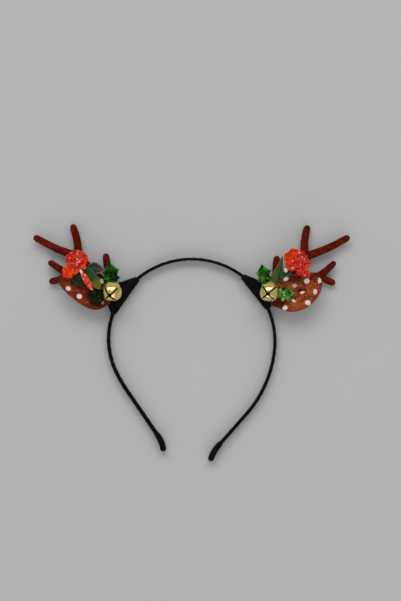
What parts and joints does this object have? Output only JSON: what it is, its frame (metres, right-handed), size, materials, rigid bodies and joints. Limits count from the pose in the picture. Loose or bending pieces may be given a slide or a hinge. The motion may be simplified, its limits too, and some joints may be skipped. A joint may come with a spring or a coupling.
{
  "type": "antler headband",
  "caption": "Costume headband: an open ribbon-wound hoop that carries flocked antlers, spotted cloth ears, jingle bells, holly and beaded flower sprays at the temples.",
  "frame": {"origin": "bottom centre of the whole headband as it lies on its back", "axes": "+Z out of the decorated side, +Y from the neck to the crown, +X across the hoop to the side without the beaded pod"},
  "size_m": [0.2338, 0.1754, 0.0249],
  "materials": {
    "satin_ribbon": "black satin ribbon wound in close turns",
    "black_felt": "matt black felt",
    "flocked_antler": "dark red-brown flocking",
    "spotted_cloth": "short-pile brown cloth with cream dots",
    "gold_bell": "polished gold plate",
    "holly_foil": "crinkled green foil",
    "leaf_cloth": "thin dull green cloth",
    "orange_petals": "orange petals set with small glossy beads",
    "red_beads": "glossy red seed beads"
  },
  "bodies": {
    "root": {"band": "satin_ribbon", "tip_left": "satin_ribbon", "tip_right": "satin_ribbon", "felt_patch_left": "black_felt", "felt_patch_right": "black_felt", "antler_left": "flocked_antler", "antler_right": "flocked_antler", "ear_left": "spotted_cloth", "ear_right": "spotted_cloth", "bell_left": "gold_bell", "bell_right": "gold_bell", "holly_left_upper": "holly_foil", "holly_left_outer": "holly_foil", "holly_right_upper": "holly_foil", "holly_right_outer": "holly_foil", "leaf_left_inner": "leaf_cloth", "leaf_left_middle": "leaf_cloth", "leaf_left_outer": "leaf_cloth", "leaf_right_upright": "leaf_cloth", "leaf_right_low": "leaf_cloth", "flower_left": "orange_petals", "flower_right": "orange_petals", "bead_pod_left": "red_beads"}
  },
  "joints": []
}
